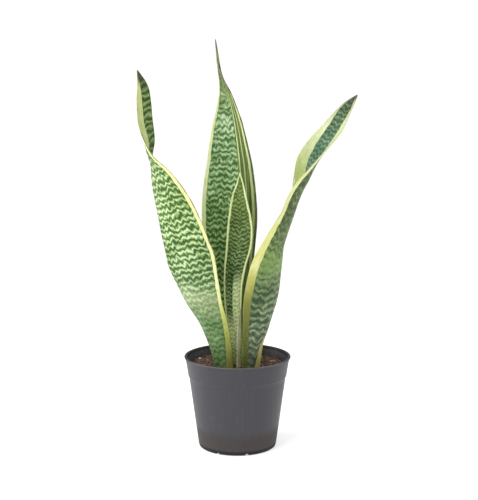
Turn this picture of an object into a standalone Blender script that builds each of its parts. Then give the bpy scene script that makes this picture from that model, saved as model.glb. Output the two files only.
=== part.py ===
"""Snake plant (variegated Sansevieria) in a 13 cm plastic nursery pot.

Origin at the middle of the pot's foot, +Z up, metres.  The pot is round about
Z.  Four leaves grow from a buried rhizome, a little in front of the pot's
middle: two broad outer leaves that twist as they lean away to -X and +X, one
tall leaf behind them and one small young leaf between them.
"""
import math
import random

import bmesh
import bpy
import numpy as np

for old in list(bpy.data.objects):
    bpy.data.objects.remove(old, do_unlink=True)

MM = 0.001

# ---- fits ----------------------------------------------------------------
CLEAR = 0.3 * MM            # gap left between any two pieces that rest together

# ---- pot -----------------------------------------------------------------
POT_H = 112.0 * MM          # foot to top of the lip
LIP_R = 65.0 * MM           # outside of the lip
LIP_H = 1.8 * MM            # height of the lip's outer edge
LIP_OVER = 1.6 * MM         # how far the lip stands out over the rim band
BAND_H = 24.0 * MM          # lip top to the rim band's lower edge
BAND_TAPER = 3.2 * MM       # the band narrows this much on its way down
BAND_STEP = 0.9 * MM        # step in from the band to the body
FOOT_R = 47.8 * MM          # body just above the foot
FOOT_BEVEL = 1.6 * MM       # step in from the body to the flat foot ring
FOOT_CHAMFER = 3.0 * MM     # height of that sloped edge
WALL = 1.6 * MM             # wall of the pot
FLOOR_LIFT = 3.0 * MM       # underside of the drain channel above the table
FLOOR_T = 2.0 * MM          # thickness of the floor
PAD_R = 22.0 * MM           # flat middle of the floor, standing on the table
RING_W = 5.6 * MM           # width of the flat foot ring
DRAINS = 8                  # drain holes, and notches in the foot ring
DRAIN_R = 4.0 * MM          # radius of one drain hole
NOTCH_W = 4.2 * MM          # width of one notch
NOTCH_H = 2.2 * MM          # height of one notch
NOTCH_TURN = math.radians(-120.5)   # direction of the first notch

BAND_TOP_R = LIP_R - LIP_OVER
BAND_LOW_R = BAND_TOP_R - BAND_TAPER
BODY_TOP_R = BAND_LOW_R - BAND_STEP
BAND_LOW_Z = POT_H - BAND_H
FLOOR_TOP = FLOOR_LIFT + FLOOR_T

# ---- potting mix ----------------------------------------------------------
SOIL_BELOW_LIP = 10.0 * MM  # level of the mix under the lip's top
SOIL_SAG = 1.5 * MM         # the mix is this much lower at the wall
SOIL_MOUND = 2.4 * MM       # rise towards the middle
SOIL_ROUGH = 1.1 * MM       # height of the lumps in the surface
LEVEL = POT_H - SOIL_BELOW_LIP

# ---- leaves ---------------------------------------------------------------
EDGE_T = 1.1 * MM           # thickness of a leaf at its margins
LEAF_FOOT = -36             # leaf feet, in mm from the level of the mix
# One row per station from foot to tip, in mm and degrees: height above the
# level of the mix, x and y of the chord's middle, width, turn of the chord,
# half angle of the channel section.  At turn 0 the outer face looks to -Y.
LEFT_LEAF = (
    (LEAF_FOOT, -12, -19, 21, -20, 58),
    (1, -16, -22, 24, -20, 50),
    (31, -21, -24, 30, -21, 42),
    (58, -29, -26, 37, -22, 36),
    (85, -40, -30, 47, -20, 30),
    (110, -48, -33, 55, -18, 27),
    (132, -54, -36, 60, -15, 25),
    (154, -60, -38, 60, -22, 25),
    (181, -68, -40, 61, -33, 25),
    (205, -76, -41, 59, -40, 25),
    (228, -86, -42, 53, -51, 27),
    (245, -92, -42, 47, -68, 28),
    (260, -98, -43, 40, -90, 30),
    (275, -101, -43, 32, -108, 30),
    (295, -105, -44, 26, -126, 30),
    (320, -107, -44, 19, -144, 30),
    (336, -108, -45, 13, -155, 28),
    (354, -114, -45, 1, -160, 20),
)
RIGHT_LEAF = (
    (LEAF_FOOT, 12, -20, 20, 22, 58),
    (1, 16.5, -22, 24, 28, 50),
    (31, 18.5, -24, 30, 32, 43),
    (48, 21.5, -26, 38, 34, 40),
    (85, 27.5, -30, 51, 36, 34),
    (115, 32, -34, 57, 44, 30),
    (141, 37, -38, 60, 54, 28),
    (166, 47, -40, 60, 64, 28),
    (190, 57, -41, 58, 72, 28),
    (205, 60.5, -41, 56, 77, 37),
    (222, 65, -40, 55, 88, 48),
    (235, 70.5, -39, 53, 98, 53),
    (253, 80, -37, 49, 114, 49),
    (271, 95, -35, 42, 129, 38),
    (289, 111, -33, 32, 138, 30),
    (305, 122, -31, 23, 138, 30),
    (316, 130, -30, 15, 138, 28),
    (326, 139, -29, 1, 138, 20),
)
TALL_LEAF = (
    (LEAF_FOOT, -4, -4, 26, 176, 62),
    (8, -6, -3, 34, 175, 52),
    (48, -10, -1, 46, 172, 44),
    (78, -12, 2, 57, 170, 38),
    (125, -11, 4, 63, 168, 32),
    (170, -10, 8, 70, 166, 27),
    (200, -10, 10, 69, 165, 27),
    (225, -10, 11, 64, 165, 27),
    (245, -10, 12, 57, 165, 28),
    (267, -11, 12, 49, 165, 30),
    (290, -12, 12, 39, 165, 34),
    (309, -13, 12, 27, 165, 40),
    (327, -15, 12, 16, 165, 50),
    (342, -19, 12, 7, 165, 60),
    (355, -22, 11, 4.4, 165, 60),
    (371, -24, 10, 3.4, 165, 50),
    (391, -26, 9, 1, 165, 20),
)
SMALL_LEAF = (
    (LEAF_FOOT, 0, -12, 12, 184, 72),
    (1, 0, -13, 13, 186, 72),
    (28, -2, -15, 15, 190, 72),
    (53, -4, -17, 18, 196, 70),
    (75, -5, -18, 21, 198, 66),
    (98, -5, -18, 23, 196, 60),
    (112, -4, -18, 25, 193, 54),
    (128, -2, -18, 27, 188, 46),
    (150, 2, -17, 31, 181, 34),
    (173, 3, -16, 30, 180, 28),
    (202, 2, -15, 20, 180, 26),
    (220, 3, -15, 10, 180, 24),
    (235, 3, -15, 1, 180, 20),
)
SHEATH = (
    (LEAF_FOOT, 1, -20, 6, 60, 20),
    (1, 1, -21, 7, 60, 20),
    (29, 1, -22, 6.5, 60, 20),
    (56, 2, -22, 5, 60, 18),
    (72, 4, -22, 1, 60, 15),
)
ROWS_PER_SPAN = 2           # leaf rows between two stations
HALF_COLUMNS = 4            # leaf columns either side of the midrib

# ---- rhizome --------------------------------------------------------------
# Each run: (x, y, height from the level of the mix, radius) in mm.
RHIZOME_RUNS = (
    ((-33, -24, -43, 4.0), (-24, -23, -41, 7.5), (-12, -20, -39, 9.0), (1, -14, -39, 9.5),
     (13, -18, -39, 9.0), (24, -22, -41, 7.5), (33, -26, -44, 4.0)),
    ((0, -14, -39, 8.0), (-3, -4, -39, 9.0), (-5, 6, -40, 8.5), (-8, 18, -43, 5.0)),
)
ROOT_R = 1.7                # mm
ROOT_START = -45            # height of the roots' upper ends, mm from the level
ROOT_STOP = 7.0 * MM        # root tips above the floor
# Each root: x and y of its start in mm, direction of its tip in degrees, how
# far out its tip lies as a share of the pot's inside radius there.
ROOTS = (
    (-24, -23, 206, 0.72), (-12, -20, 240, 0.76), (1, -14, 20, 0.18), (13, -18, 294, 0.78),
    (25, -22, 344, 0.74), (-5, 6, 118, 0.72), (-7, 15, 62, 0.76),
)

# ---- loose bits on the mix ---------------------------------------------------
# direction in degrees, how far out as a share of the way from the clump of
# leaves to the wall, then length, width and thickness in mm
BARK_CHIPS = (
    (214, 0.42, 8.5, 5.0, 2.8), (232, 0.96, 6.0, 4.0, 2.4), (196, 0.84, 7.0, 4.5, 2.6),
    (306, 0.84, 8.0, 4.6, 2.6), (328, 0.54, 9.0, 5.0, 3.0), (345, 0.90, 6.5, 4.0, 2.4),
    (12, 0.48, 8.0, 5.5, 2.8), (38, 0.00, 7.0, 4.4, 2.6), (64, 0.78, 9.5, 5.0, 3.0),
    (95, 0.12, 7.5, 4.8, 2.6), (126, 0.72, 8.0, 5.2, 2.8), (158, 0.30, 6.5, 4.2, 2.4),
)
PERLITE = ((320, 0.06, 3.4), (150, 0.96, 3.0), (80, 0.05, 3.2))   # direction, share, size
CLUMP_R = 36.0 * MM         # loose bits keep this far from the pot's middle
WALL_KEEP = 5.0 * MM        # and this far from its wall


# ---- small helpers ---------------------------------------------------------
def new_object(name, verts, faces, smooth=True):
    mesh = bpy.data.meshes.new(name)
    mesh.from_pydata([tuple(v) for v in verts], [], faces)
    mesh.update()
    obj = bpy.data.objects.new(name, mesh)
    bpy.context.scene.collection.objects.link(obj)
    face_out(obj)
    if smooth:
        for poly in mesh.polygons:
            poly.use_smooth = True
    return obj


def face_out(obj):
    bm = bmesh.new()
    bm.from_mesh(obj.data)
    bmesh.ops.recalc_face_normals(bm, faces=bm.faces)
    if bm.calc_volume(signed=True) < 0:
        bmesh.ops.reverse_faces(bm, faces=bm.faces)
    bm.to_mesh(obj.data)
    bm.free()


def paint(obj, colour, roughness):
    mat = bpy.data.materials.new(obj.name)
    mat.use_nodes = True
    bsdf = mat.node_tree.nodes["Principled BSDF"]
    bsdf.inputs["Base Color"].default_value = (*colour, 1.0)
    bsdf.inputs["Roughness"].default_value = roughness
    obj.data.materials.clear()
    obj.data.materials.append(mat)


def carve(obj, cutters, operation="DIFFERENCE"):
    """Cut every cutter out of obj (or weld it on), then drop the cutters."""
    for cutter in cutters:
        mod = obj.modifiers.new("carve", "BOOLEAN")
        mod.operation = operation
        mod.solver = "EXACT"
        mod.object = cutter
        bpy.context.view_layer.objects.active = obj
        bpy.ops.object.modifier_apply(modifier=mod.name)
    for cutter in cutters:
        bpy.data.objects.remove(cutter, do_unlink=True)


def smooth_stations(table, rows_per_span):
    """Catmull-Rom rows through a table of stations."""
    rows = np.array(table, dtype=float)
    before = 2 * rows[0] - rows[1]
    after = 2 * rows[-1] - rows[-2]
    p = np.vstack([before, rows, after])
    out = []
    for i in range(1, len(p) - 2):
        for step in range(rows_per_span):
            t = step / rows_per_span
            a, b, c, d = p[i - 1], p[i], p[i + 1], p[i + 2]
            out.append(0.5 * (2 * b + (c - a) * t + (2 * a - 5 * b + 4 * c - d) * t * t
                              + (3 * b - a - 3 * c + d) * t ** 3))
    out.append(rows[-1])
    return np.array(out)


def tube(name, runs, sides, grow=0.0):
    """Round stem through (x, y, z, radius) points in mm, closed at both ends."""
    pts = smooth_stations(runs, 3)
    centres = pts[:, :3] * MM + (0.0, 0.0, LEVEL)
    radii = pts[:, 3] * MM + grow
    tangent = np.gradient(centres, axis=0)
    tangent /= np.linalg.norm(tangent, axis=1)[:, None]
    centres[0] -= tangent[0] * grow
    centres[-1] += tangent[-1] * grow
    verts, faces = [], []
    side = np.cross(tangent[0], (0.3, 0.2, 0.93))
    for centre, radius, t in zip(centres, radii, tangent):
        side = side - t * np.dot(side, t)
        side /= np.linalg.norm(side)
        up = np.cross(t, side)
        for k in range(sides):
            a = 2 * math.pi * k / sides
            verts.append(centre + radius * (math.cos(a) * side + math.sin(a) * up))
    for r in range(len(centres) - 1):
        for k in range(sides):
            a, b = r * sides + k, r * sides + (k + 1) % sides
            faces.append((a, b, b + sides, a + sides))
    faces.append(tuple(range(sides)))
    last = (len(centres) - 1) * sides
    faces.append(tuple(range(last, last + sides)))
    return new_object(name, verts, faces)


def revolve(name, profile, segments, turn=0.0):
    """Closed solid of revolution; a profile point on the axis becomes a pole."""
    verts, rings = [], []
    for r, z in profile:
        if r < 1e-7:
            rings.append([len(verts)])
            verts.append((0.0, 0.0, z))
            continue
        ring = []
        for k in range(segments):
            a = turn + 2 * math.pi * k / segments
            ring.append(len(verts))
            verts.append((r * math.cos(a), r * math.sin(a), z))
        rings.append(ring)
    faces = []
    for low, high in zip(rings, rings[1:]):
        for k in range(segments):
            n = (k + 1) % segments
            if len(low) == 1:
                faces.append((low[0], high[n], high[k]))
            elif len(high) == 1:
                faces.append((low[k], low[n], high[0]))
            else:
                faces.append((low[k], low[n], high[n], high[k]))
    return new_object(name, verts, faces)


# ---- leaves ----------------------------------------------------------------
def leaf(name, table, mid_t, grow=0.0):
    """Blade lofted through its stations: a channel section, thick along the
    midrib and thin and rounded at the margins.  grow swells it on every side."""
    rows = smooth_stations(table, ROWS_PER_SPAN)
    path = rows[:, [1, 2, 0]] * MM + (0.0, 0.0, LEVEL)
    tangent = np.gradient(path, axis=0)
    tangent /= np.linalg.norm(tangent, axis=1)[:, None]
    path[0] -= tangent[0] * grow
    path[-1] += tangent[-1] * grow
    count = 2 * HALF_COLUMNS + 1
    verts, faces = [], []
    for i, row in enumerate(rows):
        width = max(row[3], 0.9) * MM
        turn, half = math.radians(row[4]), math.radians(max(row[5], 8.0))
        t = tangent[i]
        chord = np.array((math.cos(turn), math.sin(turn), 0.0))
        chord -= t * np.dot(chord, t)
        chord /= np.linalg.norm(chord)
        out = np.cross(chord, t)
        bend = 0.5 * width / math.sin(half)
        along = i / (len(rows) - 1)
        thick = (mid_t * (1.0 - 0.62 * along)) * MM
        thick = min(thick, 0.45 * width)
        edge = min(EDGE_T, 0.3 * width)
        outer, inner = [], []
        for k in range(count):
            u = 2.0 * k / (count - 1) - 1.0
            a = u * half
            radial = out * math.cos(a) + chord * math.sin(a)
            centre = path[i] + radial * bend - out * bend * math.cos(half)
            t_here = edge + (thick - edge) * (1.0 - u * u) ** 1.3
            outer.append(centre + radial * (0.5 * t_here + grow))
            inner.append(centre - radial * (0.5 * t_here + grow))
        ends = []
        for u in (1.0, -1.0):
            a = u * half
            radial = out * math.cos(a) + chord * math.sin(a)
            along_edge = chord * math.cos(a) - out * math.sin(a)
            centre = path[i] + radial * bend - out * bend * math.cos(half)
            ends.append(centre + u * along_edge * (0.45 * edge + grow))
        verts += outer + [ends[0]] + inner[::-1] + [ends[1]]
    ring = 2 * count + 2
    for i in range(len(rows) - 1):
        for k in range(ring):
            a, b = i * ring + k, i * ring + (k + 1) % ring
            faces.append((a, b, b + ring, a + ring))
    for base in (0, (len(rows) - 1) * ring):
        for k in range(count - 1):
            faces.append((base + k, base + k + 1, base + ring - 3 - k, base + ring - 2 - k))
        faces.append((base + count - 1, base + count, base + count + 1))
        faces.append((base + ring - 2, base + ring - 1, base))
    return new_object(name, verts, faces)


LEAVES = (
    ("leaf_left", LEFT_LEAF, 4.2),
    ("leaf_right", RIGHT_LEAF, 4.2),
    ("leaf_tall", TALL_LEAF, 4.0),
    ("leaf_small", SMALL_LEAF, 3.0),
    ("leaf_sheath", SHEATH, 1.8),
)


def body_radius(z):
    """Outside radius of the pot's tapered body at height z."""
    t = (z - FOOT_CHAMFER) / (BAND_LOW_Z - FOOT_CHAMFER)
    return FOOT_R + (BODY_TOP_R - FOOT_R) * t


def inside_radius(z):
    """Inside radius of the pot at height z."""
    turn_z = BAND_LOW_Z - 2.0 * MM
    if z <= turn_z:
        return body_radius(z) - WALL
    low = body_radius(turn_z) - WALL
    high = BAND_TOP_R - WALL
    return low + (high - low) * (z - turn_z) / (POT_H - turn_z)


def root(index, grow):
    """Fleshy root, bowed outwards on its way down to just above the floor."""
    x, y, heading, reach = ROOTS[index]
    end_z = FLOOR_TOP + ROOT_STOP
    far = reach * inside_radius(end_z)
    end = (far * math.cos(math.radians(heading)), far * math.sin(math.radians(heading)))
    drop = (end_z - LEVEL) / MM - ROOT_START
    run = []
    for step, t in enumerate((0.0, 0.33, 0.66, 1.0)):
        bow = 1.0 + 0.5 * math.sin(math.pi * t) * (1.0 - t)
        run.append((x + (end[0] / MM * bow - x) * t, y + (end[1] / MM * bow - y) * t,
                    ROOT_START + drop * t, ROOT_R * (1.0 - 0.15 * step)))
    return tube(f"root{index}", run, 6, grow)


def rhizome(name, grow=0.0):
    body = tube(name, RHIZOME_RUNS[0], 12, grow)
    parts = [tube("branch", RHIZOME_RUNS[1], 12, grow)]
    parts += [root(i, grow) for i in range(len(ROOTS))]
    carve(body, parts, "UNION")
    return body


# ---- pot -------------------------------------------------------------------
def pot():
    foot_edge = FOOT_R - FOOT_BEVEL
    ring_in = foot_edge - RING_W
    profile = [
        (0.0, 0.0),
        (PAD_R, 0.0),
        (PAD_R + 1.0 * MM, FLOOR_LIFT),
        (ring_in, FLOOR_LIFT),
        (ring_in + 0.8 * MM, 0.0),
        (foot_edge, 0.0),
        (foot_edge + 0.6 * FOOT_BEVEL, 0.25 * FOOT_CHAMFER),
        (FOOT_R, FOOT_CHAMFER),
        (body_radius(0.5 * BAND_LOW_Z), 0.5 * BAND_LOW_Z),
        (body_radius(BAND_LOW_Z - 1.2 * MM), BAND_LOW_Z - 1.2 * MM),
        (BODY_TOP_R + 0.3 * BAND_STEP, BAND_LOW_Z - 0.4 * MM),
        (BAND_LOW_R - 0.3 * BAND_STEP, BAND_LOW_Z),
        (BAND_LOW_R, BAND_LOW_Z + 0.6 * MM),
        (BAND_TOP_R, POT_H - LIP_H - 2.0 * MM),
        (BAND_TOP_R + 0.8 * MM, POT_H - LIP_H - 0.6 * MM),
        (LIP_R - 0.8 * MM, POT_H - LIP_H),
        (LIP_R, POT_H - LIP_H + 0.7 * MM),
        (LIP_R, POT_H - 0.8 * MM),
        (LIP_R - 0.8 * MM, POT_H),
        (BAND_TOP_R - WALL + 0.7 * MM, POT_H),
        (BAND_TOP_R - WALL, POT_H - 0.8 * MM),
        (inside_radius(BAND_LOW_Z), BAND_LOW_Z),
        (inside_radius(BAND_LOW_Z - 2.0 * MM), BAND_LOW_Z - 2.0 * MM),
        (inside_radius(FLOOR_TOP + 1.5 * MM), FLOOR_TOP + 1.5 * MM),
        (inside_radius(FLOOR_TOP) - 1.5 * MM, FLOOR_TOP),
        (PAD_R - FLOOR_T + 1.0 * MM, FLOOR_TOP),
        (PAD_R - FLOOR_T, FLOOR_T),
        (0.0, FLOOR_T),
    ]
    obj = revolve("pot", profile, 72)
    cutters = []
    notch_at = foot_edge - 0.5 * RING_W
    drain_at = 0.5 * (PAD_R + 1.0 * MM + ring_in)
    for k in range(DRAINS):
        a = NOTCH_TURN + 2 * math.pi * k / DRAINS
        half = a + math.pi / DRAINS
        bpy.ops.mesh.primitive_cube_add(size=1.0)
        notch = bpy.context.object
        notch.name = f"notch{k}"
        notch.scale = (RING_W + 8.0 * MM, NOTCH_W, 2 * NOTCH_H)
        notch.rotation_euler = (0.0, 0.0, a)
        notch.location = (notch_at * math.cos(a), notch_at * math.sin(a), 0.0)
        bpy.ops.mesh.primitive_cylinder_add(vertices=16, radius=DRAIN_R, depth=12 * MM)
        hole = bpy.context.object
        hole.name = f"hole{k}"
        hole.location = (drain_at * math.cos(half), drain_at * math.sin(half), FLOOR_LIFT)
        cutters += [notch, hole]
    carve(obj, cutters)
    return obj


# ---- potting mix -------------------------------------------------------------
def soil_height(x, y):
    """Surface of the mix: a low mound with soft lumps."""
    r = math.hypot(x, y) / BODY_TOP_R
    lumps = (math.sin(310 * x + 1.3) * math.cos(270 * y - 0.6)
             + 0.6 * math.sin(520 * x - 410 * y + 0.4) + 0.4 * math.cos(760 * y + 330 * x))
    rise = SOIL_MOUND * (1.0 - min(r, 1.0) ** 2)
    fade = min(1.0, (1.0 - min(r, 1.0)) * 6.0)
    return LEVEL - SOIL_SAG + rise + 0.5 * SOIL_ROUGH * lumps * fade


def potting_mix():
    floor = FLOOR_TOP + CLEAR
    plug = PAD_R - FLOOR_T - CLEAR - 0.1 * MM
    segments = 48
    edge_z = soil_height(BODY_TOP_R, 0.0)
    wall = [
        (plug, FLOOR_T + CLEAR),
        (plug + 1.0 * MM, floor),
        (inside_radius(floor) - 2.4 * MM, floor),
        (inside_radius(floor + 2.4 * MM) - CLEAR - 0.2 * MM, floor + 2.4 * MM),
        (inside_radius(0.5 * POT_H) - CLEAR - 0.1 * MM, 0.5 * POT_H),
        (inside_radius(BAND_LOW_Z - 2.0 * MM) - CLEAR - 0.1 * MM, BAND_LOW_Z - 2.0 * MM),
        (inside_radius(edge_z) - CLEAR - 0.1 * MM, edge_z - 1.0 * MM),
    ]
    verts = [(0.0, 0.0, FLOOR_T + CLEAR)]
    for r, z in wall:
        for k in range(segments):
            a = 2 * math.pi * k / segments
            verts.append((r * math.cos(a), r * math.sin(a), z))
    top_r = wall[-1][0] - 0.8 * MM
    rings = (1.0, 0.9, 0.78, 0.64, 0.5, 0.36, 0.2)
    for f in rings:
        for k in range(segments):
            a = 2 * math.pi * k / segments
            x, y = top_r * f * math.cos(a), top_r * f * math.sin(a)
            verts.append((x, y, soil_height(x, y)))
    verts.append((0.0, 0.0, soil_height(0.0, 0.0)))
    faces = [(0, 1 + (k + 1) % segments, 1 + k) for k in range(segments)]
    levels = len(wall) + len(rings)
    for r in range(levels - 1):
        for k in range(segments):
            a, b = 1 + r * segments + k, 1 + r * segments + (k + 1) % segments
            faces.append((a, b, b + segments, a + segments))
    last = 1 + (levels - 1) * segments
    for k in range(segments):
        faces.append((last + k, last + (k + 1) % segments, len(verts) - 1))
    return new_object("potting_mix", verts, faces)


# ---- loose bits ----------------------------------------------------------------
def spot(heading, share):
    """Place on the mix: a heading and a share of the way from clump to wall."""
    far = CLUMP_R + share * (inside_radius(LEVEL) - WALL_KEEP - CLUMP_R)
    return far * math.cos(math.radians(heading)), far * math.sin(math.radians(heading))


def bark_chip(name, index, grow=0.0):
    """Flat splinter of bark, lying half sunk in the mix."""
    heading, share, length, width, thick = BARK_CHIPS[index]
    rng = random.Random(index * 7 + 3)
    x, y = spot(heading, share)
    ring = []
    for k in range(7):
        a = 2 * math.pi * k / 7 + rng.uniform(-0.18, 0.18)
        reach = rng.uniform(0.86, 1.06)
        ring.append((0.5 * length * MM * reach * math.cos(a), 0.5 * width * MM * reach * math.sin(a)))
    levels = ((0.55, -0.5), (1.0, -0.22), (0.96, 0.22), (0.6, 0.5))
    spin, tip = rng.uniform(0, math.pi), rng.uniform(-0.16, 0.16)
    verts = []
    for scale, level in levels:
        for px, py in ring:
            reach = math.hypot(px, py)
            swell = (reach * scale + grow * 1.25) / reach
            z = level * thick * MM + math.copysign(grow * 1.25, level) + tip * px
            cx, cy = px * swell, py * swell
            verts.append((x + cx * math.cos(spin) - cy * math.sin(spin),
                          y + cx * math.sin(spin) + cy * math.cos(spin),
                          z + soil_height(x, y) + 0.5 * MM))
    faces = [tuple(range(7)), tuple(range(21, 28))]
    for r in range(3):
        for k in range(7):
            a, b = r * 7 + k, r * 7 + (k + 1) % 7
            faces.append((a, b, b + 7, a + 7))
    return new_object(name, verts, faces, smooth=False)


def perlite_bit(name, index, grow=0.0):
    """Puffy white crumb of perlite, half sunk in the mix."""
    heading, share, size = PERLITE[index]
    rng = random.Random(index * 5 + 11)
    x, y = spot(heading, share)
    bpy.ops.mesh.primitive_ico_sphere_add(subdivisions=2, radius=0.5 * size * MM + grow)
    obj = bpy.context.object
    obj.name = name
    squash = (rng.uniform(0.9, 1.1), rng.uniform(0.85, 1.0), rng.uniform(0.8, 0.95))
    for v in obj.data.vertices:
        v.co = [v.co[i] * squash[i] for i in range(3)]
        v.co.x += x
        v.co.y += y
        v.co.z += soil_height(x, y) + 0.3 * MM
    for poly in obj.data.polygons:
        poly.use_smooth = True
    return obj


# ---- assembly ------------------------------------------------------------------
pot_obj = pot()
paint(pot_obj, (0.095, 0.093, 0.105), 0.45)

stem = rhizome("rhizome")
paint(stem, (0.62, 0.40, 0.20), 0.7)

leaf_colours = {
    "leaf_left": (0.16, 0.30, 0.10), "leaf_right": (0.20, 0.33, 0.16),
    "leaf_tall": (0.12, 0.26, 0.10), "leaf_small": (0.14, 0.27, 0.08),
    "leaf_sheath": (0.55, 0.58, 0.34),
}
for leaf_name, stations, mid in LEAVES:
    blade = leaf(leaf_name, stations, mid)
    carve(blade, [rhizome("seat", CLEAR)])
    paint(blade, leaf_colours[leaf_name], 0.4)

mix = potting_mix()
pockets = [rhizome("bed", CLEAR)]
for leaf_name, stations, mid in LEAVES:
    pockets.append(leaf("slot_" + leaf_name, stations, mid, CLEAR))
for i in range(len(BARK_CHIPS)):
    pockets.append(bark_chip(f"dent{i}", i, CLEAR))
for i in range(len(PERLITE)):
    pockets.append(perlite_bit(f"pit{i}", i, CLEAR))
carve(mix, pockets)
paint(mix, (0.10, 0.055, 0.035), 0.95)

for i in range(len(BARK_CHIPS)):
    chip = bark_chip(f"bark_chip_{i + 1}", i)
    paint(chip, (0.34, 0.19, 0.11), 0.9)
for i in range(len(PERLITE)):
    crumb = perlite_bit(f"perlite_{i + 1}", i)
    paint(crumb, (0.80, 0.78, 0.74), 0.9)
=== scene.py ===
import math
import random

import bmesh
import bpy
from mathutils import Matrix, Vector


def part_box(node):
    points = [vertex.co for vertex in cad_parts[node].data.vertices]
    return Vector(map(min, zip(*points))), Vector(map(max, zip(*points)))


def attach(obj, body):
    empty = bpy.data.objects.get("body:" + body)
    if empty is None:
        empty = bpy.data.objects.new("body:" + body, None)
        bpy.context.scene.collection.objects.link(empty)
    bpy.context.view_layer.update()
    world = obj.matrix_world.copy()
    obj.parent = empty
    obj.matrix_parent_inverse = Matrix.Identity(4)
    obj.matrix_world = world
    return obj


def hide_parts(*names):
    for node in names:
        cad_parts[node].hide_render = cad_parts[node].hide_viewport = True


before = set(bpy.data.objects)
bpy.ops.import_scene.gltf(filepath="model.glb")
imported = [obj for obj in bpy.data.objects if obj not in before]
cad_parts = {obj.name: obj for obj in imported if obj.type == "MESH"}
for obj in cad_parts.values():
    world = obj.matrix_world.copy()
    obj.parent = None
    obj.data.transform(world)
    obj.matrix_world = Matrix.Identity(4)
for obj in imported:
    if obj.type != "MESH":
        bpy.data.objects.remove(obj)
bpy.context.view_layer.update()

# ---- Pot -------------------------------------------------------------------
# The nursery pot is one thin shell of dark grey polypropylene, blow-moulded, with a thin lip, a
# flared band under it and a chamfered foot.  Notches in the foot let the eight drains run out.
MM = 0.001
POT_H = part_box("pot")[1][2]
LIP_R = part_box("pot")[1][0]
LIP_H = 1.8 * MM
LIP_OVER = 1.6 * MM          # the lip stands out this far past the band
LIP_ROUND = 0.7 * MM
BAND_H = 24.0 * MM
BAND_TAPER = 3.2 * MM
BAND_STEP = 0.9 * MM         # and the band past the body
FOOT_R = 47.8 * MM
FOOT_BEVEL = 1.6 * MM
FOOT_CHAMFER = 3.0 * MM
WALL = 1.6 * MM
FLOOR_LIFT = 3.0 * MM
FLOOR_T = 2.0 * MM
PAD_R = 22.0 * MM            # pad in the middle of the floor
RING_W = 5.6 * MM            # ring that the pot stands on
DRAINS = 8
DRAIN_R = 4.0 * MM
NOTCH_W = 4.2 * MM
NOTCH_H = 2.2 * MM
NOTCH_TURN = math.radians(-120.5)
POT_TURNS = 144              # facets round the pot

band_top_r = LIP_R - LIP_OVER
band_low_r = band_top_r - BAND_TAPER
body_top_r = band_low_r - BAND_STEP
band_low_z = POT_H - BAND_H
floor_top = FLOOR_LIFT + FLOOR_T
foot_edge = FOOT_R - FOOT_BEVEL
ring_in = foot_edge - RING_W


def body_r(z):
    """Outside radius of the tapered body at height z."""
    share = (z - FOOT_CHAMFER) / (band_low_z - FOOT_CHAMFER)
    return FOOT_R + (body_top_r - FOOT_R) * share


def inside_r(z):
    """Inside radius of the pot at height z."""
    turn_z = band_low_z - 2.0 * MM
    if z <= turn_z:
        return body_r(z) - WALL
    low = body_r(turn_z) - WALL
    return low + (band_top_r - WALL - low) * (z - turn_z) / (POT_H - turn_z)


def arc(middle_r, middle_z, radius, start, end, steps):
    """Points (r, z) of a round, from one direction in degrees to another."""
    turns = [math.radians(start + (end - start) * k / steps) for k in range(steps + 1)]
    return [(middle_r + radius * math.cos(a), middle_z + radius * math.sin(a)) for a in turns]


def only(piece):
    """Makes a piece the one that the operators work on."""
    bpy.ops.object.select_all(action="DESELECT")
    piece.select_set(True)
    bpy.context.view_layer.objects.active = piece


def apply_modifier(piece, kind, **settings):
    """Adds a modifier with its settings and applies it."""
    only(piece)
    modifier = piece.modifiers.new(kind.lower(), kind)
    for name, value in settings.items():
        setattr(modifier, name, value)
    bpy.ops.object.modifier_apply(modifier=modifier.name)


def extrude_by(out, up):
    """Extrudes what is selected outwards and upwards."""
    bpy.ops.mesh.extrude_region_move(TRANSFORM_OT_translate={"value": (out, 0.0, up)})


def turned(name, profile, steps):
    """A profile of (r, z) points, drawn by extruding one vertex and spun about Z."""
    bpy.ops.object.select_all(action="DESELECT")
    bpy.ops.mesh.primitive_plane_add(size=1.0 * MM)
    piece = bpy.context.object
    piece.name = piece.data.name = name
    bpy.ops.object.mode_set(mode="EDIT")
    bpy.ops.mesh.merge(type="CENTER")
    bpy.ops.transform.translate(value=(profile[0][0], 0.0, profile[0][1]))
    for (r0, z0), (r1, z1) in zip(profile, profile[1:]):
        extrude_by(r1 - r0, z1 - z0)
    bpy.ops.mesh.select_all(action="SELECT")
    bpy.ops.mesh.spin(steps=steps, angle=2.0 * math.pi, center=(0.0, 0.0, 0.0),
                      axis=(0.0, 0.0, 1.0))
    bpy.ops.mesh.select_all(action="SELECT")
    bpy.ops.mesh.remove_doubles(threshold=0.01 * MM)
    bpy.ops.mesh.normals_make_consistent(inside=False)
    bpy.ops.object.mode_set(mode="OBJECT")
    return piece


lip_z = POT_H - LIP_H
profile = [(0.0, 0.0), (0.5 * PAD_R, 0.0), (PAD_R - 0.4 * MM, 0.0)]
profile += [(PAD_R + 0.2 * MM, 0.4 * MM), (PAD_R + 1.0 * MM, FLOOR_LIFT)]
profile += [(0.5 * (PAD_R + ring_in), FLOOR_LIFT), (ring_in, FLOOR_LIFT)]
profile += [(ring_in + 0.8 * MM, 0.3 * MM), (ring_in + 1.2 * MM, 0.0)]
profile += [(foot_edge - 0.3 * MM, 0.0)]
profile += [(foot_edge + 0.1 * MM, 0.1 * MM), (foot_edge + 0.6 * FOOT_BEVEL, 0.25 * FOOT_CHAMFER)]
profile += [(FOOT_R - 0.15 * MM, FOOT_CHAMFER - 0.5 * MM), (FOOT_R, FOOT_CHAMFER)]
for share in (0.06, 0.12, 0.25, 0.4, 0.55, 0.7, 0.85, 0.95):
    z = FOOT_CHAMFER + share * (band_low_z - FOOT_CHAMFER)
    profile.append((body_r(z), z))
profile += [(body_r(band_low_z - 1.2 * MM), band_low_z - 1.2 * MM)]
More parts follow.
